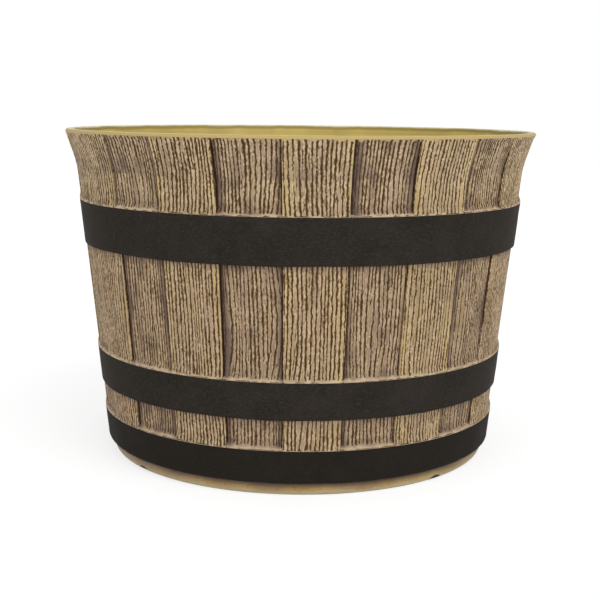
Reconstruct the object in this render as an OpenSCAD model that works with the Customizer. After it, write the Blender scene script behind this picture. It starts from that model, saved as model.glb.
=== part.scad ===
// Round barrel-look floor planter: a moulded tub with a rolled rim and a low foot,
// clad in staves that stand alternately proud and set back, and bound by three hoops.
// Z is up, the origin is the middle of the foot's underside, and a proud stave faces -Y.

/* [Overall] */
// Outer diameter of the rim
rim_d = 510; // [380:1:640]
// Height from the floor to the top of the rim
height = 351; // [300:1:450]
// Lean of the straight wall, in degrees from upright
wall_taper = 6; // [3:0.1:9]

/* [Flare] */
// Depth below the rim's top at which the wall starts to curve outwards
flare_h = 47.5; // [40:0.5:58]
// Radius of the flare's curve
flare_radius = 100; // [60:1:140]
// Lean of the flare where it meets the rim, in degrees from upright
flare_lean = 18.5; // [14:0.5:24]

/* [Tub] */
// Wall of the tub behind the staves
tub_wall = 3.5; // [3:0.1:8]
// Thickness of the tub's floor
floor_thick = 5; // [3:0.1:10]
// Rounding between the floor and the wall inside
floor_fillet = 12; // [4:0.5:20]
// Height of the rim bead above the staves
bead_h = 3.2; // [2:0.1:10]
// How far the rim bead stands out over the proud staves
bead_overhang = 0.2; // [0.1:0.1:2]
// Rounding of the rim bead's two upper edges
bead_rounding = 3; // [1:0.1:3.5]

/* [Foot] */
// Clear height under the tub's floor
foot_clear = 8; // [6:0.5:16]
// Width of the foot's ring
foot_w = 12; // [10:0.5:24]
// How far the foot's outer edge rounds in
foot_round_w = 6; // [2:0.5:7]
// How high the foot's outer edge rounds up
foot_round_h = 7; // [2:0.5:10]
// Width of one drain notch at the floor
notch_w = 18; // [8:1:40]
// Height of a drain notch
notch_h = 4; // [2:0.5:5]
// Angle between the two front notches, with the rear pair opposite
notch_spread = 94.6; // [60:0.1:120]
// Angle of the notches' middle line from the front
notch_turn = -7.5; // [-30:0.5:30]

/* [Drain holes] */
// Diameter of a drain hole in the floor
drain_d = 12; // [6:0.5:20]
// Number of drain holes round the middle one
drain_count = 4; // [3:1:8]
// Diameter of the circle that they lie on
drain_circle_d = 220; // [80:1:240]

/* [Staves] */
// Number of staves round the tub
stave_count = 24; // [16:2:36]
// Thickness of a proud stave
stave_thick = 5; // [4.5:0.1:9]
// How far every second stave is set back
stave_recess = 1.2; // [0.4:0.1:2]
// Open joint between two staves
stave_joint = 0.3; // [0.1:0.05:1]
// Clearance of the staves on the tub
stave_fit = 0.2; // [0.1:0.05:0.5]

/* [Hoops] */
// Thickness of the hoops
hoop_thick = 1.4; // [1:0.1:3]
// Clearance of the hoops on the proud staves
hoop_fit = 0.1; // [0.1:0.05:0.5]
// Rounding of the hoops' outer edges
hoop_edge = 0.5; // [0.2:0.1:0.5]
// Depth of the top hoop's upper edge below the rim's top
top_hoop_drop = 74.9; // [70:0.1:110]
// Width of the top hoop
top_hoop_h = 45.9; // [30:0.1:56]
// Height of the middle hoop's lower edge
middle_hoop_z = 79.1; // [66:0.1:110]
// Width of the middle hoop
middle_hoop_h = 37.7; // [25:0.1:56]
// Height of the bottom hoop's lower edge
bottom_hoop_z = 13.3; // [11:0.1:16]
// Width of the bottom hoop
bottom_hoop_h = 34.4; // [25:0.1:44]
// Radius of the bottom hoop's turned-in lower edge
bottom_hoop_turn = 5; // [4:0.1:6]

/* [Hoop lips] */
// Height of the swell that stops each hoop, above the hoop
lip_h = 8; // [5:0.5:10]
// Height of the lip's full-width band
lip_band = 1.6; // [0.5:0.1:3]
// How far the lip stays inside the hoop's outer face
lip_set = 0.2; // [0:0.1:1]
// Clearance between a hoop's upper edge and its lip
lip_fit = 0.2; // [0.1:0.05:0.5]

/* [Hidden] */
$fn = 96;
arc_steps = 6;      // straight runs along a small rounding
flare_steps = 10;   // straight runs along the flare's curve
stave_pitch = 360 / stave_count;
front = -90;        // the angle that faces -Y
over = 1;           // how far a cut runs past its solid

rim_r = rim_d / 2;
bead_z = height - bead_h;
bead_round = min(bead_rounding, bead_h - bead_overhang);
flare_z = height - flare_h;
flare_end_z = flare_z + flare_radius * (sin(flare_lean) - sin(wall_taper));
flare_end_r = rim_r - bead_overhang - (bead_z - flare_end_z) * tan(flare_lean);
flare_foot_r = flare_end_r - flare_radius * (cos(wall_taper) - cos(flare_lean));

floor_top = foot_clear + floor_thick;
stave_foot_z = bottom_hoop_z + hoop_thick + hoop_fit;
foot_r = wall_r(stave_foot_z) - stave_thick;
foot_inner_r = foot_r - foot_w;
foot_inner_round = 2;
notch_r = (pow(notch_w / 2, 2) + pow(notch_h, 2)) / (2 * notch_h);

// [lower edge, width] of each hoop from the floor up
hoops = [
    [bottom_hoop_z, bottom_hoop_h],
    [middle_hoop_z, middle_hoop_h],
    [height - top_hoop_drop - top_hoop_h, top_hoop_h]
];

function two_digits(n) = str(n < 10 ? "0" : "", n);
function stave_name(i) = str("stave_", two_digits(i));

// Outer radius of a proud stave at height z: a straight lean, a tangent arc, a steeper lean
function wall_r(z) =
    z <= flare_z ? flare_foot_r - (flare_z - z) * tan(wall_taper) :
    z >= flare_end_z ? flare_end_r + (z - flare_end_z) * tan(flare_lean) :
    flare_foot_r + flare_radius * (cos(wall_taper) - cos(flare_turn(z)));
function flare_turn(z) = asin(sin(wall_taper) + (z - flare_z) / flare_radius);

// The wall's line from z1 up to z2, moved sideways by off
function wall_line(z1, z2, off) = concat(
    [[wall_r(z1) + off, z1]],
    [for (k = [0 : flare_steps])
        let (z = flare_z + k * (flare_end_z - flare_z) / flare_steps)
        if (z > z1 && z < z2) [wall_r(z) + off, z]],
    [[wall_r(z2) + off, z2]]
);

// Points on an arc round c, with its own radii across and up, from angle a1 to a2
function arc(c, rx, rz, a1, a2) = [
    for (k = [0 : arc_steps])
        let (a = a1 + (a2 - a1) * k / arc_steps)
        [c[0] + rx * cos(a), c[1] + rz * sin(a)]
];

function reversed(list) = [for (k = [len(list) - 1 : -1 : 0]) list[k]];

// The swell above one hoop, from its underside to where it has faded into the stave
function lip(hoop, off) =
    let (
        z1 = hoop[0] + hoop[1] + lip_fit,
        z2 = z1 + lip_band,
        z3 = z1 + lip_h,
        out = hoop_fit + hoop_thick - lip_set
    )
    concat(
        [[wall_r(z1) + off, z1], [wall_r(z1) + out, z1], [wall_r(z2) + out, z2]],
        [for (k = [1 : arc_steps])
            let (t = k / arc_steps, z = z2 + (z3 - z2) * t, fade = (1 + cos(180 * t)) / 2)
            [wall_r(z) + off + (out - off) * fade, z]]
    );

// Section of a stave, its face moved by off from the proud one
module stave_section(off) {
    turn = min(bottom_hoop_turn - hoop_thick - hoop_fit, stave_thick - stave_fit + off);
    turn_z = bottom_hoop_z + bottom_hoop_turn;
    back = stave_fit - stave_thick;
    polygon(concat(
        arc([wall_r(turn_z) + off - turn, turn_z], turn, turn, -90, 0),
        lip(hoops[0], off),
        lip(hoops[1], off),
        lip(hoops[2], off),
        wall_line(flare_z, bead_z - stave_fit, off),
        reversed(wall_line(stave_foot_z, bead_z - stave_fit, back))
    ));
}

module stave(i) {
    joint = stave_joint / rim_r * 180 / PI;
    set_back = i % 2 == 0;
    color(set_back ? "rosybrown" : "tan")
        rotate([0, 0, front + (i - 1.5) * stave_pitch + joint / 2])
            rotate_extrude(angle = stave_pitch - joint)
                stave_section(set_back ? -stave_recess : 0);
}

// Section of the tub: outer side from the foot up, over the rim bead, and down the inside
module tub_section() {
    behind = -stave_thick;
    inside = behind - tub_wall;
    bead_in = wall_r(bead_z) + inside;
    fillet_z = floor_top + floor_fillet;
    polygon(concat(
        arc([foot_r - foot_round_w, foot_round_h], foot_round_w, foot_round_h, -90, 0),
        wall_line(stave_foot_z, bead_z, behind),
        [[rim_r - bead_overhang, bead_z], [rim_r, bead_z + bead_overhang]],
        arc([rim_r - bead_round, height - bead_round], bead_round, bead_round, 0, 90),
        arc([bead_in + bead_round, height - bead_round], bead_round, bead_round, 90, 180),
        reversed(wall_line(fillet_z, bead_z, inside)),
        arc([wall_r(fillet_z) + inside - floor_fillet, fillet_z], floor_fillet, floor_fillet, 0, -90),
        [[0, floor_top], [0, foot_clear]],
        [[foot_inner_r, foot_clear]],
        arc([foot_inner_r + foot_inner_round, foot_inner_round],
            foot_inner_round, foot_inner_round, 180, 270)
    ));
}

module drain_notches() {
    for (half_turn = [0, 180], side = [-1, 1])
        rotate([0, 0, front + notch_turn + half_turn + side * notch_spread / 2])
            translate([foot_inner_r - over, 0, notch_h - notch_r])
                rotate([0, 90, 0])
                    cylinder(r = notch_r, h = foot_w + 2 * over);
}

module drain_holes() {
    hole_h = floor_thick + 2 * over;
    translate([0, 0, foot_clear - over]) {
        cylinder(d = drain_d, h = hole_h);
        for (k = [0 : drain_count - 1])
            rotate([0, 0, (k + 0.5) * 360 / drain_count])
                translate([drain_circle_d / 2, 0, 0])
                    cylinder(d = drain_d, h = hole_h);
    }
}

module tub() {
    color("darkkhaki")
        difference() {
            rotate_extrude() tub_section();
            drain_notches();
            drain_holes();
        }
}

// Band that follows the wall's lean, with rounded outer edges
module band(hoop) {
    z1 = hoop[0];
    z2 = z1 + hoop[1];
    color("#2e2b28")
        rotate_extrude()
            polygon(concat(
                [[wall_r(z1) + hoop_fit, z1]],
                arc([wall_r(z1) + hoop_fit + hoop_thick - hoop_edge, z1 + hoop_edge],
                    hoop_edge, hoop_edge, -90, 0),
                arc([wall_r(z2) + hoop_fit + hoop_thick - hoop_edge, z2 - hoop_edge],
                    hoop_edge, hoop_edge, 0, 90),
                [[wall_r(z2) + hoop_fit, z2]]
            ));
}

module top_hoop() { band(hoops[2]); }

module middle_hoop() { band(hoops[1]); }

// The lowest band turns in under the staves' ends and stops short of the foot
module bottom_hoop() {
    z1 = bottom_hoop_z;
    z2 = z1 + bottom_hoop_h;
    turn_z = z1 + bottom_hoop_turn;
    turn_r = wall_r(turn_z) + hoop_fit + hoop_thick - bottom_hoop_turn;
    inner_turn = bottom_hoop_turn - hoop_thick;
    lip_r = foot_r + stave_fit;
    color("#2e2b28")
        rotate_extrude()
            polygon(concat(
                [[lip_r, z1]],
                arc([turn_r, turn_z], bottom_hoop_turn, bottom_hoop_turn, -90, 0),
                arc([wall_r(z2) + hoop_fit + hoop_thick - hoop_edge, z2 - hoop_edge],
                    hoop_edge, hoop_edge, 0, 90),
                [[wall_r(z2) + hoop_fit, z2]],
                arc([turn_r, turn_z], inner_turn, inner_turn, 0, -90),
                [[lip_r, z1 + hoop_thick]]
            ));
}

tub();
for (i = [1 : stave_count])
    stave(i);
bottom_hoop();
middle_hoop();
top_hoop();
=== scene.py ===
import math
from functools import partial

import bpy
import numpy as np
from mathutils import Matrix, Vector


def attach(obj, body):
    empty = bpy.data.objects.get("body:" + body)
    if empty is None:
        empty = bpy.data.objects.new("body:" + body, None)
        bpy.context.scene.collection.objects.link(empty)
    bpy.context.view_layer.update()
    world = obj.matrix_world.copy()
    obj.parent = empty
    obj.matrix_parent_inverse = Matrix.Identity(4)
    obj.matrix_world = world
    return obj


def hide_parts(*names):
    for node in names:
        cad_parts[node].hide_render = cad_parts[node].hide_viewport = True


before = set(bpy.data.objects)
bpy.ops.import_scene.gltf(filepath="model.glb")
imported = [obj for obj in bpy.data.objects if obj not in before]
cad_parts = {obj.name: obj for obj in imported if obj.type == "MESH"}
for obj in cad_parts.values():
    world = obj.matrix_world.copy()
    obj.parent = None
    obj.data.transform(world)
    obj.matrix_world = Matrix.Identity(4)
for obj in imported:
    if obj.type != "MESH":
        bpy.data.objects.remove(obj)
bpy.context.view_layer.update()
print("frame loaded: %d nodes" % len(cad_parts))

# Lengths are in metres, as in the frame, and angles in degrees.
wall = {
    "rimRadius": 0.255,
    "lean": 6.0,          # straight part, from upright
    "flareZ": 0.3035,     # where the wall starts to curve out
    "flareRadius": 0.100,
    "flareLean": 18.5,    # where it meets the rim
    "overhang": 0.0002,   # rim bead over the staves
    "beadZ": 0.3478,      # underside of the rim bead, where the staves end
}

hoopEdges = {             # lower and upper edge of each hoop
    "bottom_hoop": (0.0133, 0.0477),
    "middle_hoop": (0.0791, 0.1168),
    "top_hoop": (0.2302, 0.2761),
}

noiseCells = 97           # the noise repeats after this many cells


# Outer radius of a proud stave: a straight lean up to flareZ, then an arc that is tangent to it,
# then a straight and steeper lean up to the rim bead
def wallRadius(z):
    lean, steep = math.radians(wall["lean"]), math.radians(wall["flareLean"])
    endZ = wall["flareZ"] + wall["flareRadius"] * (math.sin(steep) - math.sin(lean))
    endR = wall["rimRadius"] - wall["overhang"] - (wall["beadZ"] - endZ) * math.tan(steep)
    startR = endR - wall["flareRadius"] * (math.cos(lean) - math.cos(steep))
    straight = startR - (wall["flareZ"] - z) * math.tan(lean)
    turn = np.arcsin(np.clip(math.sin(lean) + (z - wall["flareZ"]) / wall["flareRadius"], -1, 1))
    curved = startR + wall["flareRadius"] * (math.cos(lean) - np.cos(turn))
    flared = np.where(z > endZ, endR + (z - endZ) * math.tan(steep), curved)
    return np.where(z < wall["flareZ"], straight, flared)


# Noise from -1 to 1: seeded values on a unit lattice, blended in both directions by 6t^5 - 15t^4 + 10t^3
def softNoise(x, y, seed):
    table = np.random.default_rng(seed).uniform(-1, 1, (noiseCells, noiseCells))
    cellX, cellY = np.floor(x).astype(int), np.floor(y).astype(int)
    tx, ty = (t ** 3 * (t * (6 * t - 15) + 10) for t in (x - cellX, y - cellY))
    x0, x1, y0, y1 = (cell % noiseCells for cell in (cellX, cellX + 1, cellY, cellY + 1))
    low = table[x0, y0] * (1 - tx) + table[x1, y0] * tx
    high = table[x0, y1] * (1 - tx) + table[x1, y1] * tx
    return low * (1 - ty) + high * ty


# 0 below low, 1 above high, and 3t^2 - 2t^3 in between
def fade(low, high, value):
    t = np.clip((value - low) / (high - low), 0, 1)
    return t * t * (3 - 2 * t)


# Rows of points, each row one closed loop that runs counter-clockwise seen from above: quads join each loop
# to the next, and one face caps the first and the last, or wrapRows joins the last loop to the first.
# From its point flatFrom on, a loop is shaded flat.
def loopMesh(name, points, flatFrom=None, wrapRows=False):
    rows, loops = points.shape[:2]
    index = np.arange(rows * loops).reshape(rows, loops)
    lower, upper = (index, np.roll(index, -1, 0)) if wrapRows else (index[:-1], index[1:])
    quads = np.stack([lower, np.roll(lower, -1, 1), np.roll(upper, -1, 1), upper], -1)
    faces = quads.reshape(-1, 4).tolist()
    smooth = np.tile(np.arange(loops) < (flatFrom or loops), len(lower)).tolist()
    if not wrapRows:
        faces += [index[0, ::-1].tolist(), index[-1].tolist()]
        smooth += [False, False]
    mesh = bpy.data.meshes.new(name)
    mesh.from_pydata(points.reshape(-1, 3), [], faces)
    mesh.polygons.foreach_set("use_smooth", smooth)
    mesh.update()
    piece = bpy.data.objects.new(name, mesh)
    bpy.context.scene.collection.objects.link(piece)
    return piece


# Stores one number a point, in the order of the points
def paintPoints(piece, name, values):
    attribute = piece.data.attributes.new(name, "FLOAT", "POINT")
    attribute.data.foreach_set("value", np.ascontiguousarray(values, np.float32).ravel())


# An sRGB hex colour as the linear colour that the shader takes
def paint(hexColour):
    parts = [int(hexColour[k:k + 2], 16) / 255 for k in (1, 3, 5)]
    return tuple(c / 12.92 if c <= 0.04045 else ((c + 0.055) / 1.055) ** 2.4 for c in parts) + (1.0,)


# Adds a node and gives back its socket out: inputs are values or the sockets to link, the rest its settings
def addNode(tree, kind, inputs=None, out=0, **settings):
    node = tree.nodes.new(kind)
    for key, value in settings.items():
        setattr(node, key, value)
    for key, value in (inputs or {}).items():
        if isinstance(value, bpy.types.NodeSocket):
            tree.links.new(value, node.inputs[key])
        else:
            node.inputs[key].default_value = value
    return node.outputs[out] if len(node.outputs) else None


# An empty material, and the function that adds nodes to it
def newMaterial(name):
    material = bpy.data.materials.new(name)
    material.use_nodes = True
    material.node_tree.nodes.clear()
    return material, partial(addNode, material.node_tree)


# In each finish, coats go over one another in the order given. A coat is what it follows, its colour, the two
# values of what it follows between which it comes on, and its full strength.
staveFinish = {
    "golden": "#AF956C",             # the two ends of the ridges' tan
    "pinkish": "#A28470",
    "olive": "#9A8F69",              # greener streaks
    "shaded": "#8A7658",             # duller patches
    "halo": "#7F6645",               # thin wash on the grooves' shoulders
    "brushed": "#E2CCAC",            # dry-brushed edges of the ridges
    "brushedHigh": "#EFDAB4",        # and paler in the flare
    "groove": "#4A3213",             # brown wash that pools in the grooves
    "wash": "#69564A",               # grey-purple glaze beside the joints, together with painted shade from the proud staves' steps and painted shadow under the hoops
    "washDeep": "#453429",           # and in the grooves under it
    "rubbed": "#C0A563",             # brighter gold where the proud staves' sides are rubbed
    "bead": "#BFA873",               # olive of the rim bead, which runs over the staves' tops
    "lip": "#CDB89C",                # greyer, rubbed lips above the hoops
    "roughness": 0.66,
    "mottle": (0.018, 0.25, 3.0),    # noises: size, the scale that draws it out along the grain, and detail
    "nodule": (0.0018, 0.25, 1.0),   # broken bits along a groove
    "grit": (0.0015, 0.50, 1.0),     # about what still shows in the render
    "streak": (0.0040, 0.07, 1.0),   # the ridges' changes of hue
    "flareZ": (0.265, 0.320),        # between these heights the brushing turns paler
    "ragged": 0.35,                  # how far nodules and grit push a groove's edge, in half widths
    "gritty": 0.62,
    "coats": (
        ("streak", "olive", 0.56, 0.66, 0.70),
        ("mottle", "shaded", 0.45, 0.72, 0.80),
        ("edgeRub", "rubbed", 0, 1, 1),
        ("high", "brushed", 0, 1, 0.13),
        ("lipTint", "lip", 0, 1, 0.75),
        ("ridgeLine", "brushed", 0, 1, 1),
        ("grit", "halo", 0.42, 0.32, 0.22),
        ("reach", "halo", 2.35, 1.3, 0.86),
        # glaze, with painted shade beside the joints and painted shadow under the hoops
        ("greyWash", "wash", 0, 1, 1),
        ("reach", "groove", 1.35, 0.70, 1),
        ("beadTint", "bead", 0, 1, 1),
    ),
}


# Moulded polyester resin with a rough-sawn grain, washed dark and dry-brushed: the wash pools raggedly
# in the grooves and greys the set-back edges, where it also carries painted shade from the proud staves' steps and
# painted shadow under the hoops, and the brushing leaves broken pale lines along the ridges
def washedGrainResin():
    f = staveFinish
    material, add = newMaterial("washedGrainResin")
    place = add("ShaderNodeTexCoord", out="Object")
    height = add("ShaderNodeSeparateXYZ", {"Vector": place}, "Z")
    lowZ, highZ = f["flareZ"]
    follow = {"high": add("ShaderNodeMapRange", {"Value": height, "From Min": lowZ, "From Max": highZ})}
    for name in ("grooveGap", "ridgeTone", "greyWash", "beadTint", "lipTint", "edgeRub"):
        follow[name] = add("ShaderNodeAttribute", out="Fac", attribute_name=name)
    for name in ("mottle", "nodule", "grit", "streak"):
        size, drawn, detail = f[name]
        along = add("ShaderNodeMapping", {"Vector": place, "Scale": (1, 1, drawn)})
        follow[name] = add("ShaderNodeTexNoise", {"Vector": along, "Scale": 1 / size, "Detail": detail})
    nodule, grit = follow["nodule"], follow["grit"]

    # Distance from a groove in its half widths, made ragged
    reach = follow["grooveGap"]
    for noise, push in ((nodule, f["ragged"]), (grit, f["gritty"])):
        push = add("ShaderNodeMapRange", {"Value": noise, "From Min": 0.25, "From Max": 0.75,
                                          "To Min": -push, "To Max": push})
        reach = add("ShaderNodeMath", {0: reach, 1: push}, operation="ADD")
    follow["reach"] = reach

    # The brushed line along a ridge's edge, where nodules or grit catch the brush
    edge = add("ShaderNodeMapRange", {"Value": reach, "From Min": 3.2, "From Max": 1.9})
    broken = add("ShaderNodeMapRange", {"Value": nodule, "From Min": 0.40, "From Max": 0.62, "To Max": 0.85})
    speck = add("ShaderNodeMapRange", {"Value": grit, "From Min": 0.50, "From Max": 0.64})
    caught = add("ShaderNodeMath", {0: broken, 1: speck}, operation="MAXIMUM")
    follow["ridgeLine"] = add("ShaderNodeMath", {0: edge, 1: caught}, operation="MULTIPLY")

    colours = {name: paint(f[name]) for name in ("olive", "shaded", "rubbed", "lip", "halo", "wash", "bead")}
    for name, source, other in (("brushed", "high", "brushedHigh"), ("groove", "greyWash", "washDeep"),
                                ("golden", "ridgeTone", "pinkish")):
        colours[name] = add("ShaderNodeMix", {0: follow[source], 6: paint(f[name]), 7: paint(f[other])}, 2,
                            data_type="RGBA")
    base = colours["golden"]
    for source, colour, start, full, strength in f["coats"]:
        share = add("ShaderNodeMapRange", {"Value": follow[source], "From Min": start, "From Max": full,
                                           "To Max": strength})
        base = add("ShaderNodeMix", {0: share, 6: base, 7: colours[colour]}, 2, data_type="RGBA")

    lumps = add("ShaderNodeMix", {0: 0.45, 2: nodule, 3: grit})
    bump = add("ShaderNodeBump", {"Height": lumps, "Strength": 0.8, "Distance": 0.0004})
    surface = {"Base Color": base, "Normal": bump, "Roughness": f["roughness"], "Specular IOR Level": 0.14}
    add("ShaderNodeOutputMaterial", {"Surface": add("ShaderNodeBsdfPrincipled", surface)})
    return material


hoopFinish = {
    "enamel": "#27231F",
    "worn": "#302B26",
    "fleck": "#3B3732",
    "low": "#1D1A16",        # painted shade: the bottom hoop, darker because less light reaches it
    "roughness": (0.68, 0.82),       # it follows the mottling
    "cloud": 0.030,          # size of the mottling
    "peel": 0.0030,          # orange peel of the sprayed paint, wider than high
    "squat": 2.2,
    "coats": (
        ("cloud", "worn", 0.38, 0.68, 1),
        ("peel", "fleck", 0.45, 0.75, 0.70),
        # painted shade on the bottom hoop
        ("height", "low", 0.065, 0.055, 0.55),
    ),
}


# Satin black-brown enamel sprayed on moulded resin: close to flat, with soft mottling and a little orange peel, and
# painted shade on the bottom hoop
def sprayedSatinEnamel():
    f = hoopFinish
    material, add = newMaterial("sprayedSatinEnamel")
    place = add("ShaderNodeTexCoord", out="Object")
    height = add("ShaderNodeSeparateXYZ", {"Vector": place}, "Z")
    cloud = add("ShaderNodeTexNoise", {"Vector": place, "Scale": 1 / f["cloud"], "Detail": 4.0, "Roughness": 0.6})
    squat = add("ShaderNodeMapping", {"Vector": place, "Scale": (1, 1, f["squat"])})
    peel = add("ShaderNodeTexNoise", {"Vector": squat, "Scale": 1 / f["peel"], "Detail": 3.0})
    follow = {"cloud": cloud, "peel": peel, "height": height}
    base = paint(f["enamel"])
    for source, colour, start, full, strength in f["coats"]:
        share = add("ShaderNodeMapRange", {"Value": follow[source], "From Min": start, "From Max": full,
                                           "To Max": strength})
        base = add("ShaderNodeMix", {0: share, 6: base, 7: paint(f[colour])}, 2, data_type="RGBA")
    smoother, rougher = f["roughness"]
    rough = add("ShaderNodeMapRange", {"Value": cloud, "From Min": 0.3, "From Max": 0.7,
                                       "To Min": smoother, "To Max": rougher})
    bump = add("ShaderNodeBump", {"Height": peel, "Strength": 0.5, "Distance": 0.0003})
    surface = {"Base Color": base, "Roughness": rough, "Normal": bump, "Specular IOR Level": 0.04}
    add("ShaderNodeOutputMaterial", {"Surface": add("ShaderNodeBsdfPrincipled", surface)})
    return material


tubFinish = {
    "inside": "#C6B060",
    "insideDark": "#B09B50",
    "rimShade": "#9F8C48",   # duller olive just inside the bead
    "rimTop": "#E0D9B6",     # painted highlight: paler along the bead's top
    "rimOut": "#BBA368",     # tan brushed over the bead's outer side
    "foot": "#B0936A",
    "footDark": "#967757",
    "footGold": "#B89A55",
    "footSpeck": "#75603F",
    "footShade": "#524030",  # painted shade: brown just under the bottom hoop
    "footEdge": "#B8AB80",   # bare olive near the floor
    "footLine": "#66583F",   # painted shade: dark line where it meets the floor
    "footSides": "#7E6650",  # painted shade: darker towards the two sides
    "roughness": 0.50,
    "ring": 0.0022,          # spacing of the fine tool rings
    "cloud": 1 / 26,         # sizes of the changes of tone
    "patch": 1 / 16,
    "grit": 0.0017,
    "stray": 0.0008,         # how far a coat's edge strays up and down
    "insideCoats": (
        ("tone", "insideDark", 0.38, 0.62, 1),
        ("height", "rimShade", 0.3452, 0.3466, 1),
        ("height", "rimTop", 0.3490, 0.3508, 1),
        ("radius", "rimOut", 0.2520, 0.2536, 1),
    ),
    "footCoats": (
        ("tone", "footDark", 0.38, 0.62, 1),
        ("patch", "footGold", 0.48, 0.62, 0.60),
        ("grit", "footSpeck", 0.50, 0.68, 0.55),
        ("height", "footShade", 0.0058, 0.0118, 1),
        ("height", "footEdge", 0.0056, 0.0032, 0.85),
        ("height", "footLine", 0.0014, 0.0004, 0.80),
        ("side", "footSides", 0.11, 0.19, 0.55),
    ),
    "footTop": (0.0165, 0.0145),      # the foot's coats end at this height
    "footInner": (0.1995, 0.2005),    # and at this radius
    "notch": "#1B140D",               # painted shade in and round the drain notches
    "notchLines": (129.8, 35.2),      # directions of the two lines on which they lie
    "notchRadius": 0.012125,
    "notchDrop": 0.008125,            # middle of a notch's circle, below the floor
    "notchShadeEdge": (0.0017, 0.0006),    # past a notch's edge, the painted shade starts at the first and is full at the second
}


# Moulded olive-tan polyester resin, left as it comes from the mould: smooth, with fine rings round the inside,
# a tan wash over the foot and the bead's outer side, a painted highlight along the bead's top, and painted shade
# inside the bead, under the bottom hoop, along the floor line, towards the foot's two sides and in the drain
# notches
def mouldedOliveResin():
    f = tubFinish
    material, add = newMaterial("mouldedOliveResin")
    place = add("ShaderNodeTexCoord", out="Object")
    height = add("ShaderNodeSeparateXYZ", {"Vector": place}, "Z")
    level = add("ShaderNodeVectorMath", {0: place, 1: (1, 1, 0)}, operation="MULTIPLY")
    radius = add("ShaderNodeVectorMath", {0: level}, "Value", operation="LENGTH")
    side = add("ShaderNodeSeparateXYZ", {"Vector": place}, "X")
    side = add("ShaderNodeMath", {0: side}, operation="ABSOLUTE")
    ring = add("ShaderNodeTexNoise", {"W": height, "Scale": 1 / f["ring"], "Detail": 3.0}, noise_dimensions="1D")
    cloud = add("ShaderNodeTexNoise", {"Vector": place, "Scale": 1 / f["cloud"], "Detail": 3.0})
    patch = add("ShaderNodeTexNoise", {"Vector": place, "Scale": 1 / f["patch"], "Detail": 2.0})
    grit = add("ShaderNodeTexNoise", {"Vector": place, "Scale": 1 / f["grit"], "Detail": 1.0})
    tone = add("ShaderNodeMix", {0: 0.5, 2: ring, 3: cloud})
    uneven = add("ShaderNodeMapRange", {"Value": cloud, "From Min": 0.3, "From Max": 0.7,
                                        "To Min": -f["stray"], "To Max": f["stray"]})
    stray = add("ShaderNodeMath", {0: height, 1: uneven}, operation="ADD")

    follow = {"tone": tone, "height": stray, "radius": radius, "side": side, "patch": patch, "grit": grit}
    painted = {}
    for part in ("inside", "foot"):
        base = paint(f[part])
        for source, colour, start, full, strength in f[part + "Coats"]:
            share = add("ShaderNodeMapRange", {"Value": follow[source], "From Min": start, "From Max": full,
                                               "To Max": strength})
            base = add("ShaderNodeMix", {0: share, 6: base, 7: paint(f[colour])}, 2, data_type="RGBA")
        painted[part] = base
    low, outer = (add("ShaderNodeMapRange", {"Value": source, "From Min": f[ends][0], "From Max": f[ends][1]})
                  for source, ends in ((height, "footTop"), (radius, "footInner")))
    foot = add("ShaderNodeMath", {0: low, 1: outer}, operation="MULTIPLY")
    base = add("ShaderNodeMix", {0: foot, 6: painted["inside"], 7: painted["foot"]}, 2, data_type="RGBA")

    # A drain notch is cut by a level cylinder on one of two lines through the middle, so a point's distance
    # from the nearer cylinder's middle line, against its radius, says how near the notch is
    beside = []
    for line in f["notchLines"]:
        across = (-math.sin(math.radians(line)), math.cos(math.radians(line)), 0)
        away = add("ShaderNodeVectorMath", {0: place, 1: across}, "Value", operation="DOT_PRODUCT")
        beside.append(add("ShaderNodeMath", {0: away}, operation="ABSOLUTE"))
    nearer = add("ShaderNodeMath", {0: beside[0], 1: beside[1]}, operation="MINIMUM")
    above = add("ShaderNodeMath", {0: height, 1: f["notchDrop"]}, operation="ADD")
    centre = add("ShaderNodeCombineXYZ", {0: nearer, 1: above})
    centre = add("ShaderNodeVectorMath", {0: centre}, "Value", operation="LENGTH")
    start, full = (f["notchRadius"] + past for past in f["notchShadeEdge"])
    notchShadeShare = add("ShaderNodeMapRange", {"Value": centre, "From Min": start, "From Max": full})
    # painted shade in and round the drain notches
    base = add("ShaderNodeMix", {0: notchShadeShare, 6: base, 7: paint(f["notch"])}, 2, data_type="RGBA")

    bump = add("ShaderNodeBump", {"Height": ring, "Strength": 0.4, "Distance": 0.0003})
    surface = {"Base Color": base, "Roughness": f["roughness"], "Normal": bump, "Specular IOR Level": 0.3}
    add("ShaderNodeOutputMaterial", {"Surface": add("ShaderNodeBsdfPrincipled", surface)})
    return material


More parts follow.
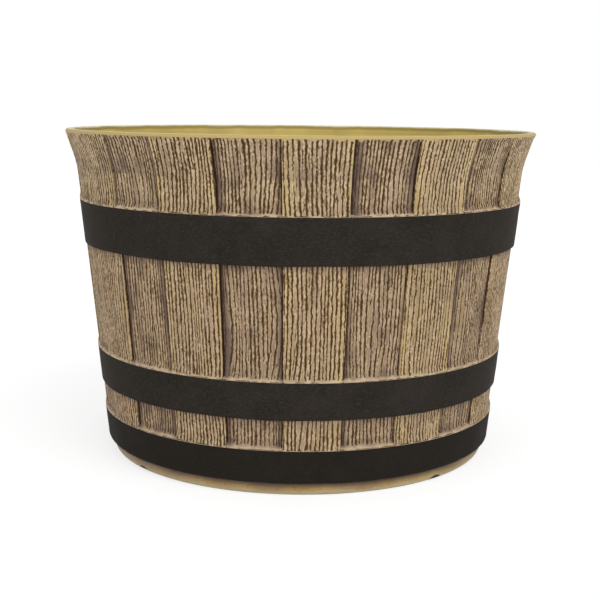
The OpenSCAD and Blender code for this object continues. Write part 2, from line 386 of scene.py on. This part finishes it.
stave = {
    "count": 24,
    "thick": 0.005,
    "recess": 0.0012,        # every second stave is set back by this
    "topRecess": 0.0003,     # but only by this at its top
    "joint": 0.0003,
    "fit": 0.0002,           # off the tub
    "footZ": 0.0148,
    "columns": 116,
    "backColumns": 8,
    "rowStep": 0.00105,
    "lipHeight": 0.008,      # swell above each hoop
    "lipBand": 0.0016,       # its lowest part, which is upright
    "lipFit": 0.0002,        # off the hoop
    "lipOut": 0.0013,        # past a proud stave's face
    "smoothBack": (0.0048, 0.0041, 0.0028),     # height of the ungrooved lip above each hoop
    "smoothProud": (0.0010, 0.0027, 0.0014),
    "turn": 0.0035,          # curl of the face under the bottom hoop
    "wander": 0.0011,        # how far a joint strays slowly from its straight line,
    "tremble": 0.00018,      # and finely
    # How dark the twelve joints from the front one leftwards are, below the top hoop and above it, and the
    # same again behind: wash, and painted shade in the corner of each step
    "darkBelow": (0.55, 1.0, 0.5, 0.95, 0.4, 0.7, 0.3, 0.8, 0.65, 0.55, 0.3, 0.45),
    "darkAbove": (0.2, 0.6, 0.35, 0.25, 0.5, 0.3, 0.4, 0.2, 0.5, 0.3, 0.6, 1.0),
    "stainAndShadow": (0.0135, 0.0135, 0.0095),          # how far the wash and a painted shadow run down from each hoop
    "lowStripZ": 0.09,       # below this the set-back staves are greyer, and the wash and painted shadow under the hoops are fainter
    "shoulderZ": (0.3098, 0.3116),              # where the tan turns pinker and the wash gathers in the flare,
    "shoulderEndZ": (0.3380, 0.3125),           # and where that wash has died out again
    "paleOne": 3,            # this stave in each half turn took less of the wash
}

patterns = {                 # a stave's noises: size across and along the grain, and seed
    "slowBend": (0.015, 0.19, 21),
    "bend": (0.026, 0.085, 22),
    "sway": (0.008, 0.080, 23),
    "tremble": (0.004, 0.0070, 24),
    "fineTremble": (0.003, 0.0040, 29),
    "width": (0.0045, 0.020, 26),
    "fineWidth": (0.0020, 0.0038, 25),
    "shallow": (0.007, 0.03, 27),
    "hairline": (0.009, 0.022, 28),
    "grit": (0.0016, 0.0019, 41),
    "lipTop": (0.0024, 0.004, 30),
    "lipLine": (0.004, 0.01, 46),
    "lipPale": (0.005, 0.01, 47),
    "topLine": (0.0022, math.inf, 31),    # the same at every height
    "stainAndShadow": (0.006, 0.01, 42),
    "bow": (0.012, 0.02, 45),
    "flare": (0.012, 0.02, 36),
    "tone": (0.0045, 0.045, 43),
    "broadTone": (0.02, 0.08, 44),
    "heavy": (0.030, 0.045, 35),
    "washReach": (0.004, 0.010, 39),
    "washStreak": (0.0018, 0.03, 34),
    "washGroove": (0.0012, 0.045, 48),
    "backCloud": (0.011, 0.018, 37),
    "proudCloud": (0.014, 0.022, 38),
    "jointWidth": (0.004, 0.009, 33),
    "sideEdge": (0.003, 0.009, 40),
    "rubReach": (0.004, 0.03, 49),
    "rubPatch": (0.02, 0.05, 50),
}

grain = {
    "radius": 0.232,         # radius at which the lengths below are measured
    "pitch": 0.0042,         # spacing of the grooves
    "spacing": (0.0022, 0.0075),     # the least and the most that it comes to
    "halfWidth": 0.00071,
    "crowded": 0.62,         # least share of the width that is left where grooves crowd
    "depth": 0.0008,
    "jointWidth": 0.0018,    # painted shade: dark line along a set-back stave's sides, in the corner of the step
    "forksBack": (5, 8),     # how many forks a stave has: at least the first and under the second
    "forksProud": (2, 5),
    "forkAcross": 0.026,     # forks lie up to this far from a stave's middle
    "forkUp": (0.03, 0.345),
    "forkHigh": 0.030,       # reach of a fork along and across the grain
    "forkWide": 0.0045,
    "grit": 0.00004,
    "none": 4.0,             # a gap at which no groove shows
}


# One of the noises by its name, where u runs across the grain and z along it: each stave has its own part of it
def staveNoise(u, z, number, name):
    across, up, seed = patterns[name]
    return softNoise(u / across + 10.0 * number, z / up, seed)


# Angle of a joint at each height, in radians: its place round the tub, plus a slow wander and a fine tremble
def jointLine(k, z):
    same = k % stave["count"]

    def noise(size, step, seed):
        return softNoise(z / size + step * same, 0 * z, seed)
    away = stave["wander"] * (0.75 * noise(0.11, 7.3, 11) + 0.25 * noise(0.034, 3.1, 12))
    away = away + stave["tremble"] * noise(0.006, 5.7, 13)
    return math.radians((k - 0.5) * 360 / stave["count"] - 90) + away / wallRadius(z)


# At each height: how far the lip above a hoop stands out, as a share, half a cosine wave that dies out upwards,
# how far the height is above the hoop below it, and which hoop that is
def lipShare(z):
    share, above, hoopBelow = np.zeros_like(z), np.full_like(z, 1.0), np.zeros(z.shape, int)
    for which, (low, high) in enumerate(hoopEdges.values()):
        base = high + stave["lipFit"]
        band, top = base + stave["lipBand"], base + stave["lipHeight"]
        t = np.clip((z - band) / (top - band), 0, 1)
        share = np.where((z >= base) & (z <= top), (1 + np.cos(np.pi * t)) / 2, share)
        past = z > low + 0.001
        above, hoopBelow = np.where(past, z - base, above), np.where(past, which, hoopBelow)
    return share, above, hoopBelow


# Heights of the rows: coarse behind the hoops, close where the grain shows, and two at each lip's underside
def staveRows():
    heights, last = [stave["footZ"]], stave["footZ"]
    for low, high in hoopEdges.values():
        base = high + stave["lipFit"]
        if low > last:
            shown = int(round((low + 0.002 - last) / stave["rowStep"]))
            heights += list(np.linspace(last, low + 0.002, shown + 1)[1:])
        heights += list(np.linspace(heights[-1], high - 0.001, 7)[1:])
        heights += [base - 1e-6, base, base + 0.0005, base + 0.0011, base + stave["lipBand"]]
        last = heights[-1]
    shown = int(round((wall["beadZ"] - last) / stave["rowStep"]))
    return np.array(heights + list(np.linspace(last, wall["beadZ"], shown + 1)[1:]))


# The grain in the plane of a stave, u across and z up. Grooves lie where the phase is whole: phase = u / pitch,
# bent by slow and fine noise, plus at each fork the angle round it as a share of a turn, which starts or ends
# one groove there. Gap = the phase's distance from whole over its slope across the grain, as a share of the
# groove's half width, which noise widens and narrows, and which shrinks where grooves crowd. Hairlines lie
# halfway between grooves that are far apart.
def grooveGap(u, z, number, setBack):
    rng = np.random.default_rng(400 + number)
    noise = partial(staveNoise, u, z, number)
    bend = 1.0 if setBack else 0.6
    phase = u / grain["pitch"] + 0.70 * noise("slowBend") + bend * 0.75 * noise("bend")
    phase = phase + 0.27 * noise("sway") + 0.075 * noise("tremble") + 0.040 * noise("fineTremble")
    for _ in range(rng.integers(*grain["forksBack" if setBack else "forksProud"])):
        across, up = rng.uniform(-grain["forkAcross"], grain["forkAcross"]), rng.uniform(*grain["forkUp"])
        turn = rng.choice([-1, 1])
        angle = np.arctan2((z - up) / grain["forkHigh"], (u - across) / grain["forkWide"])
        phase = phase + turn * angle / (2 * np.pi)

    step = np.diff(phase, axis=1)
    step = step - np.round(step)
    slope = np.concatenate([step[:, :1], (step[:, 1:] + step[:, :-1]) / 2, step[:, -1:]], 1)
    slope = np.abs(slope) / np.gradient(u, axis=1)
    spacing = np.clip(1 / np.maximum(slope, 1e-6), *grain["spacing"])
    tight = np.clip(spacing / grain["pitch"], grain["crowded"], 1)
    ragged = 1 + 0.35 * noise("width") + 0.20 * noise("fineWidth")
    width = grain["halfWidth"] * tight * (1 + 0.07 * fade(0.27, 0.31, z)) * ragged
    gap = np.abs(phase - np.round(phase)) * spacing / width + 0.5 * fade(0.4, 1.0, noise("shallow"))
    hair = np.abs(phase + 0.5 - np.round(phase + 0.5)) * spacing / (0.6 * width)
    hair = hair + 2.2 * (1 - fade(-0.5, 0.3, noise("hairline")) * fade(0.0046, 0.0060, spacing))
    return np.minimum(gap, hair)


# A stave: the face follows wallRadius, set back on every second one, swells at the lips and is cut by the grain,
# depth times exp(-gap^2). Each row is a loop: across the face from joint to joint, then back along the inner side.
def buildStave(number, rows):
    setBack = number % 2 == 0
    z = rows[:, None]
    halfGap = stave["joint"] / 2 / wall["rimRadius"]
    left, right = jointLine(number - 1, z) + halfGap, jointLine(number, z) - halfGap
    share = np.linspace(0, 1, stave["columns"] + 1)[None, :]
    angle = left + (right - left) * share
    middle = math.radians((number - 1) * 360 / stave["count"] - 90)
    u = (angle - middle) * grain["radius"]
    zz = np.broadcast_to(z, u.shape)
    edge = np.minimum(share, 1 - share) * (right - left) * grain["radius"]
    noise = partial(staveNoise, u, zz, number)
    gap = grooveGap(u, zz, number, setBack)

    # From each hoop up: a thin dark line, a pale smooth lip, the start of the grooves. They end at the rim bead.
    lip, above, hoopBelow = lipShare(z)
    smooth = np.take(stave["smoothBack" if setBack else "smoothProud"], hoopBelow)
    clear = fade(0.6 * smooth - 0.0003, smooth, above + 0.0010 * noise("lipTop"))
    lipLine = (above - 0.0004 - 0.0007 * noise("lipLine")) / 0.0002
    lipPale = fade(smooth + 0.0008, 0.2 * smooth + 0.0004, above + 0.0010 * noise("lipPale")) * (above < 0.01)
    upon = fade(0.013, 0.007, above) * (1 - lipPale)
    tops = wall["beadZ"] + 0.0004 + 0.0016 * noise("topLine")
    cut = clear * fade(0, 0.0008, tops - zz)

    # The wash, with a painted shadow under each hoop, runs down from the hoops, and wash gathers in the flare
    below = 0
    for (low, _), run in zip(hoopEdges.values(), stave["stainAndShadow"]):
        below = below + fade(run, 0.0005, low - zz + 0.0015 * noise("stainAndShadow")) * (zz < low + 0.002)
    strip = zz < stave["lowStripZ"]
    bow = zz + 0.0012 * noise("bow")
    upper = fade(*stave["shoulderZ"], bow)
    flare = upper * fade(*stave["shoulderEndZ"], bow) * fade(-0.5, 0.5, noise("flare"))
    tone = 0.5 + 0.55 * noise("tone") + 0.30 * noise("broadTone") + 0.25 * flare + 0.55 * upper + 0.4 * below

    # How dark the stave's two joints are, from one value below the top hoop to another above it: wash and painted
    # shade
    half = stave["count"] // 2
    joint = -np.where(share < 0.5, number - 1, number) % half
    darkBelow, darkAbove = np.take(stave["darkBelow"], joint), np.take(stave["darkAbove"], joint)
    dark = darkBelow + fade(0.255, 0.275, zz) * (darkAbove - darkBelow)
    heavy = np.clip(dark + 0.35 * noise("heavy"), 0.1, 1)

    if setBack:         # a band of wash and painted shade along both joints, and a dark line of painted shade in the corner
        reach = 0.0035 + 0.0085 * heavy + 0.0016 * noise("washReach")
        band = fade(1.0, 0.20, edge / reach) * (0.35 + 0.65 * heavy)
        wash = band * (0.88 + 0.18 * noise("washStreak")) + 0.46 * flare + 0.38 * fade(0.0, 0.9, noise("backCloud"))
        wash = wash + 0.10 + 0.08 * strip + (0.40 - 0.14 * strip) * below + 0.22 * upon
        streaks = 0.85 + 4.5 * np.abs(noise("washGroove")) + 3.5 * (1 - band)
        line = edge / (grain["jointWidth"] * (0.10 + 0.90 * heavy + 0.20 * noise("jointWidth")))
        gap = np.minimum(np.minimum(gap + 0.1 * band, streaks), line)
        tone = tone + 0.20
        rub = 0.0
        hollow = 0.0010 * fade(0.0026, 0.0006, edge) * cut
        rise = stave["recess"] - stave["topRecess"]
        off = -stave["recess"] + rise * fade(0.0045, 0.0005, wall["beadZ"] - zz)
    else:               # rubbed and slightly rounded along both sides
        wash = 0.24 * fade(0.3, 1.0, noise("proudCloud")) + 0.32 * flare
        wash = wash + (0.46 - 0.14 * strip) * below + 0.12 * upon
        worn = 1.2 * fade(0.0014, 0.0003, edge + 0.0007 * noise("sideEdge"))
        # a dark line of painted shade along the proud stave's edge, stronger where the joint is darker
        gap = np.minimum(gap + worn, edge / 0.00020 + 2.6 * (1 - heavy))
        tone = tone - 0.06 - 0.5 * fade(0.008, 0.002, edge)
        rub = 0.70 * fade(0.0130, 0.0015, edge + 0.0045 * noise("rubReach")) * fade(-0.7, 0.3, noise("rubPatch"))
        hollow = 0.00050 * (1 - np.sqrt(np.clip(edge / 0.0014, 0, 1))) ** 2
        off = 0.0
    if number % half == stave["paleOne"]:
        gap, tone = gap * 1.05 + 0.12, tone - 0.25
    gap = np.minimum(gap + grain["none"] * (1 - cut), lipLine + 2 * (above > 0.002))
    gap = np.clip(np.where(above > 0, gap, grain["none"]), 0, grain["none"])
    wash = np.clip(wash * (1 - 0.7 * lipPale), 0, 1) * fade(0, 0.003, tops - zz)

    grit = grain["grit"] * (0.5 + 0.5 * noise("grit")) * cut
    relief = grain["depth"] * np.exp(-gap ** 2) + hollow + grit
    curl, turn = stave["footZ"] + stave["turn"], stave["turn"]
    under = np.where(z < curl, turn - np.sqrt(np.clip(turn ** 2 - (curl - z) ** 2, 0, None)), 0)
    radius = wallRadius(z) + off + (stave["lipOut"] - off) * lip - relief - under

    across = np.linspace(0, 1, stave["backColumns"] + 1)
    backAngle = left + (right - left) * (1 - across)
    backRadius = np.broadcast_to(wallRadius(z) - stave["thick"] + stave["fit"], backAngle.shape)
    angles, radii = np.concatenate([angle, backAngle], 1), np.concatenate([radius, backRadius], 1)
    points = np.stack([radii * np.cos(angles), radii * np.sin(angles), np.broadcast_to(z, angles.shape)], -1)
    piece = loopMesh("staveBoard%02d" % number, points, flatFrom=stave["columns"])

    # What the material reads, on the face and on the rest
    # The side walls and the back take painted shade: darker and greyer where the joint beside them is darker
    behindDark = heavy[:, -1:] * (1 - across) + heavy[:, :1] * across
    painted = {
        "grooveGap": (gap, 2.6 * (1 - behindDark)),
        "ridgeTone": (np.clip(tone, 0, 1), 0.5),
        "greyWash": (wash, 0.3 + 0.5 * behindDark),
        "beadTint": (fade(0.0012, 0.0, tops - zz), 0.0),
        "lipTint": (lipPale, 0.0),
        "edgeRub": (rub, 0.0),
    }
    for name, (face, rest) in painted.items():
        values = [np.broadcast_to(face, angle.shape), np.broadcast_to(rest, backAngle.shape)]
        paintPoints(piece, name, np.concatenate(values, 1))
    piece.data.materials.append(staveMaterial)
    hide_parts("stave_%02d" % number)
    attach(piece, "root")


staveMaterial = washedGrainResin()
rows = staveRows()
for number in range(1, stave["count"] + 1):
    buildStave(number, rows)
print("staves: %d rows each" % len(rows))


hoop = {
    "thick": 0.0014,
    "fit": 0.0001,
    "edge": 0.0005,          # radius of the rounded edges
    "turn": 0.0050,          # the bottom hoop's turned-in edge
    "footRadius": 0.20714,
    "columns": 360,
    "wave": 0.00022,         # how far the edges stray up and down
    "dent": 0.00012,         # and the face in and out
    "dentHeight": 0.012,
}


# Points of an arc about (r, z), from one angle to another
def arcPoints(r, z, radius, first, last, count):
    angles = np.radians(np.linspace(first, last, count))
    return [(r + radius * math.cos(a), z + radius * math.sin(a)) for a in angles]


# A band's section is a closed loop, carried round the tub: r = wallRadius(z) + offset, with rounded outer edges.
# The edges stray by slow noise round the tub, and the face by slow noise over it.
def buildHoop(name):
    low, high = hoopEdges[name]
    thick, fit, edge = hoop["thick"], hoop["fit"], hoop["edge"]
    outer = fit + thick
    top = arcPoints(wallRadius(high) + outer - edge, high - edge, edge, 0, 90, 5)
    top += [(wallRadius(high) + fit, high)]
    if name == "bottom_hoop":
        turn, seat = hoop["turn"], hoop["footRadius"] + stave["fit"]
        faceLow = low + turn
        turnR = wallRadius(faceLow) + outer - turn
        start = [(seat, low)] + arcPoints(turnR, faceLow, turn, -90, 0, 10)
        end = arcPoints(turnR, faceLow, turn - thick, 0, -90, 8) + [(seat, low + thick)]
    else:
        faceLow = low + edge
        start = [(wallRadius(low) + fit, low)]
        start += arcPoints(wallRadius(low) + outer - edge, faceLow, edge, -90, 0, 5)
        end = []
    face = [(wallRadius(h) + outer, h) for h in np.linspace(faceLow, high - edge, 26)[1:-1]]
    section = np.array(start + face + top + end, float)

    shape = (len(section), hoop["columns"])
    r, h = (np.broadcast_to(section[:, k, None], shape) for k in (0, 1))
    around = np.broadcast_to(np.linspace(0, 2 * np.pi, hoop["columns"], endpoint=False), shape)
    seed = 50 + list(hoopEdges).index(name)
    upper, lower = fade(high - 0.006, high, h), fade(low + 0.006, low, h)
    slow = softNoise(20 + 5 * np.cos(around), 20 + 5 * np.sin(around), seed)
    fine = softNoise(48 + 36 * np.cos(around), 48 + 36 * np.sin(around), seed)
    stray = hoop["wave"] * (0.4 * upper + lower) * (slow + fine)
    outside = r > wallRadius(h) + fit + 0.0004
    lap = noiseCells / (2 * np.pi)
    dent = hoop["dent"] * softNoise(around * lap, h / hoop["dentHeight"], seed + 5) * outside
    points = np.stack([(r + dent) * np.cos(around), (r + dent) * np.sin(around), h + stray], -1)
    piece = loopMesh(name.replace("_hoop", "HoopBand"), points, wrapRows=True)
    piece.data.materials.append(hoopMaterial)
    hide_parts(name)
    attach(piece, "root")


hoopMaterial = sprayedSatinEnamel()
for name in hoopEdges:
    buildHoop(name)
print("hoops built")


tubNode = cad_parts["tub"]
tubNode.data.materials.clear()
tubNode.data.materials.append(mouldedOliveResin())
print("tub finished")


room = {
    "floorHalf": 6.0,
    "floorColour": "#F2F2F2",
    "floorSeen": "#ABABAB",  # the camera sees this instead, darker, so that the shadow stays faint,
    "floorGlow": 0.70,       # with this glow added,
    "shadeRadius": 0.2022,   # but none under the planter
    "floorUnder": "#1C1A18",
    "underRadius": 0.2008,   # what the drain notches show of the floor is in deep shade
    "worldLight": 0.62,
    "keyStrength": 1.25,
    "keyToward": (-0.48, 0.76, -0.74),
    "fillStrength": 0.5,
    "fillToward": (0.65, 0.80, -0.45),
    "lampAngle": 50.0,       # how wide both lamps look, which softens their shadows
}


# A pale floor that glows for the camera only: it looks white, and still takes the planter's shadow
def buildFloor():
    half = room["floorHalf"]
    mesh = bpy.data.meshes.new("floor")
    mesh.from_pydata([(-half, -half, 0), (half, -half, 0), (half, half, 0), (-half, half, 0)], [], [(0, 1, 2, 3)])
    floor = bpy.data.objects.new("floor", mesh)
    bpy.context.scene.collection.objects.link(floor)
    material, add = newMaterial("paleStudioFloor")
    rays = material.node_tree.nodes.new("ShaderNodeLightPath").outputs
    place = add("ShaderNodeTexCoord", out="Object")
    radius = add("ShaderNodeVectorMath", {0: place}, "Value", operation="LENGTH")
    under = add("ShaderNodeMath", {0: radius, 1: room["underRadius"]}, operation="LESS_THAN")
    under = add("ShaderNodeMath", {0: under, 1: rays["Is Camera Ray"]}, operation="MULTIPLY")
    colour = paint(room["floorColour"])
    for share, other in ((rays["Is Camera Ray"], "floorSeen"), (under, "floorUnder")):
        colour = add("ShaderNodeMix", {0: share, 6: colour, 7: paint(room[other])}, 2, data_type="RGBA")
    clear = add("ShaderNodeMath", {0: radius, 1: room["shadeRadius"]}, operation="GREATER_THAN")
    seen = add("ShaderNodeMath", {0: rays["Is Camera Ray"], 1: rays["Is Glossy Ray"]}, operation="MAXIMUM")
    glow = add("ShaderNodeMath", {0: clear, 1: room["floorGlow"]}, operation="MULTIPLY")
    glow = add("ShaderNodeMath", {0: seen, 1: glow}, operation="MULTIPLY")
    matt = add("ShaderNodeBsdfDiffuse", {"Color": colour})
    light = add("ShaderNodeEmission", {"Color": (1, 1, 1, 1), "Strength": glow})
    add("ShaderNodeOutputMaterial", {"Surface": add("ShaderNodeAddShader", {0: matt, 1: light})})
    floor.data.materials.append(material)


# Even light from all round, white where the camera looks into it, and two wide, soft lamps
def buildLight():
    world = bpy.data.worlds.new("studio")
    world.use_nodes = True
    world.node_tree.nodes.clear()
    add = partial(addNode, world.node_tree)
    rays = world.node_tree.nodes.new("ShaderNodeLightPath").outputs
    seen = add("ShaderNodeMath", {0: rays["Is Camera Ray"], 1: rays["Is Transmission Ray"]}, operation="MAXIMUM")
    strength = add("ShaderNodeMapRange", {"Value": seen, "To Min": room["worldLight"], "To Max": 1.0})
    background = add("ShaderNodeBackground", {"Color": (1, 1, 1, 1), "Strength": strength})
    add("ShaderNodeOutputWorld", {"Surface": background})
    bpy.context.scene.world = world
    for name in ("key", "fill"):
        data = bpy.data.lights.new(name, "SUN")
        data.energy = room[name + "Strength"]
        data.angle = math.radians(room["lampAngle"])
        lamp = bpy.data.objects.new(name, data)
        lamp.rotation_euler = Vector(room[name + "Toward"]).to_track_quat("-Z", "Y").to_euler()
        bpy.context.scene.collection.objects.link(lamp)


camera = {
    "distance": 1.320,       # level distance from the planter's axis
    "height": 0.3796,
    "aroundFromFront": 3.6,  # degrees from -Y towards -X
    "pitch": 9.33,
    "roll": 0.565,
    "focalPixels": 1185.4,   # in a frame of framePixels
    "framePixels": 600,
    "shiftX": 0.0015,
    "shiftY": -0.0037,
}


# The camera looks level towards the axis, pitched down, then rolled about its own line of sight
def buildCamera():
    around, pitch, roll = (math.radians(camera[k]) for k in ("aroundFromFront", "pitch", "roll"))
    upright = Vector((0, 0, 1))
    right = Vector((math.cos(around), -math.sin(around), 0))
    level = Vector((math.sin(around), math.cos(around), 0))
    forward = level * math.cos(pitch) - upright * math.sin(pitch)
    up = level * math.sin(pitch) + upright * math.cos(pitch)
    rolledRight = right * math.cos(roll) + up * math.sin(roll)
    rolledUp = up * math.cos(roll) - right * math.sin(roll)
    data = bpy.data.cameras.new("camera")
    data.sensor_width = 36.0
    data.lens = camera["focalPixels"] / camera["framePixels"] * data.sensor_width
    data.shift_x, data.shift_y = camera["shiftX"], camera["shiftY"]
    viewer = bpy.data.objects.new("camera", data)
    place = -level * camera["distance"] + upright * camera["height"]
    axes = Matrix((rolledRight, rolledUp, -forward)).transposed().to_4x4()
    viewer.matrix_world = Matrix.Translation(place) @ axes
    bpy.context.scene.collection.objects.link(viewer)
    bpy.context.scene.camera = viewer


buildFloor()
buildLight()
buildCamera()
bpy.context.scene.view_settings.view_transform = "Standard"
print("room, light and camera set")
